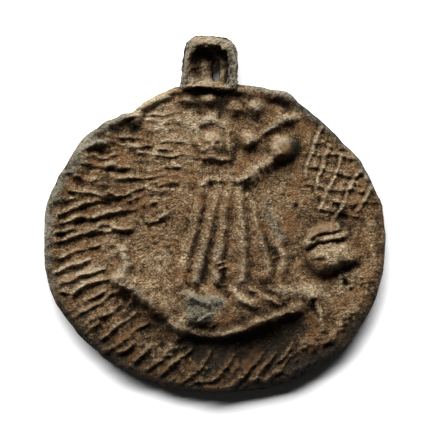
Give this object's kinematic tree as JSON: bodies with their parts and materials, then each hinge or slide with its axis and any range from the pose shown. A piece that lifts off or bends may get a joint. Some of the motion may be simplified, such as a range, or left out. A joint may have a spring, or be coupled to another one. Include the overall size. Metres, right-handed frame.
{
  "type": "pilgrim pendant",
  "caption": "Round cast pendant with a raised rim, a robed figure on a crescent in relief, rays, a net pattern and a box-shaped hanging loop.",
  "frame": {"origin": "the middle of the disc on its flat back face", "axes": "+Z out of the relief face, +Y from the middle of the disc towards the hanging loop, +X to the right seen on the face"},
  "size_m": [0.042, 0.044, 0.0048],
  "materials": {
    "earth_patina": "rough, brown earth crust over cast lead-tin alloy",
    "bare_metal": "dull grey worn lead-tin alloy with brown traces"
  },
  "bodies": {
    "root": {"flan": "earth_patina", "loop_left_cheek": "bare_metal", "loop_crown": "bare_metal", "loop_right_cheek": "bare_metal", "loop_sill": "bare_metal", "rim_upper_left": "bare_metal", "rim_left_upper": "bare_metal", "rim_left_lower": "bare_metal", "rim_lower_left": "bare_metal", "rim_lower_right": "earth_patina", "rim_right": "earth_patina", "rim_right_upper": "earth_patina", "rim_upper_right": "earth_patina", "head": "earth_patina", "crown_band": "earth_patina", "collar": "earth_patina", "hair_left": "earth_patina", "hair_right": "earth_patina", "shoulder_yoke": "earth_patina", "raised_arm": "earth_patina", "bodice": "earth_patina", "orb": "earth_patina", "sceptre_knob": "earth_patina", "sceptre": "earth_patina", "robe": "earth_patina", "robe_fold_1": "earth_patina", "robe_fold_2": "earth_patina", "robe_fold_3": "earth_patina", "robe_fold_4": "earth_patina", "robe_fold_5": "earth_patina", "robe_fold_6": "earth_patina", "crescent_bowl": "earth_patina", "mantle_left": "bare_metal", "mantle_right": "earth_patina", "crescent_lip": "earth_patina", "crescent_left_arm": "earth_patina", "crescent_left_horn": "earth_patina", "crescent_right_arm": "earth_patina", "crescent_right_horn": "earth_patina", "cloud_lower": "earth_patina", "cloud_upper": "earth_patina", "crown_pellet_1": "earth_patina", "crown_pellet_2": "earth_patina", "crown_pellet_3": "earth_patina", "crown_pellet_4": "earth_patina", "net": "earth_patina", "rays_upper": "earth_patina", "rays_left": "earth_patina", "rays_lower": "earth_patina", "rays_bottom": "earth_patina"}
  },
  "joints": []
}
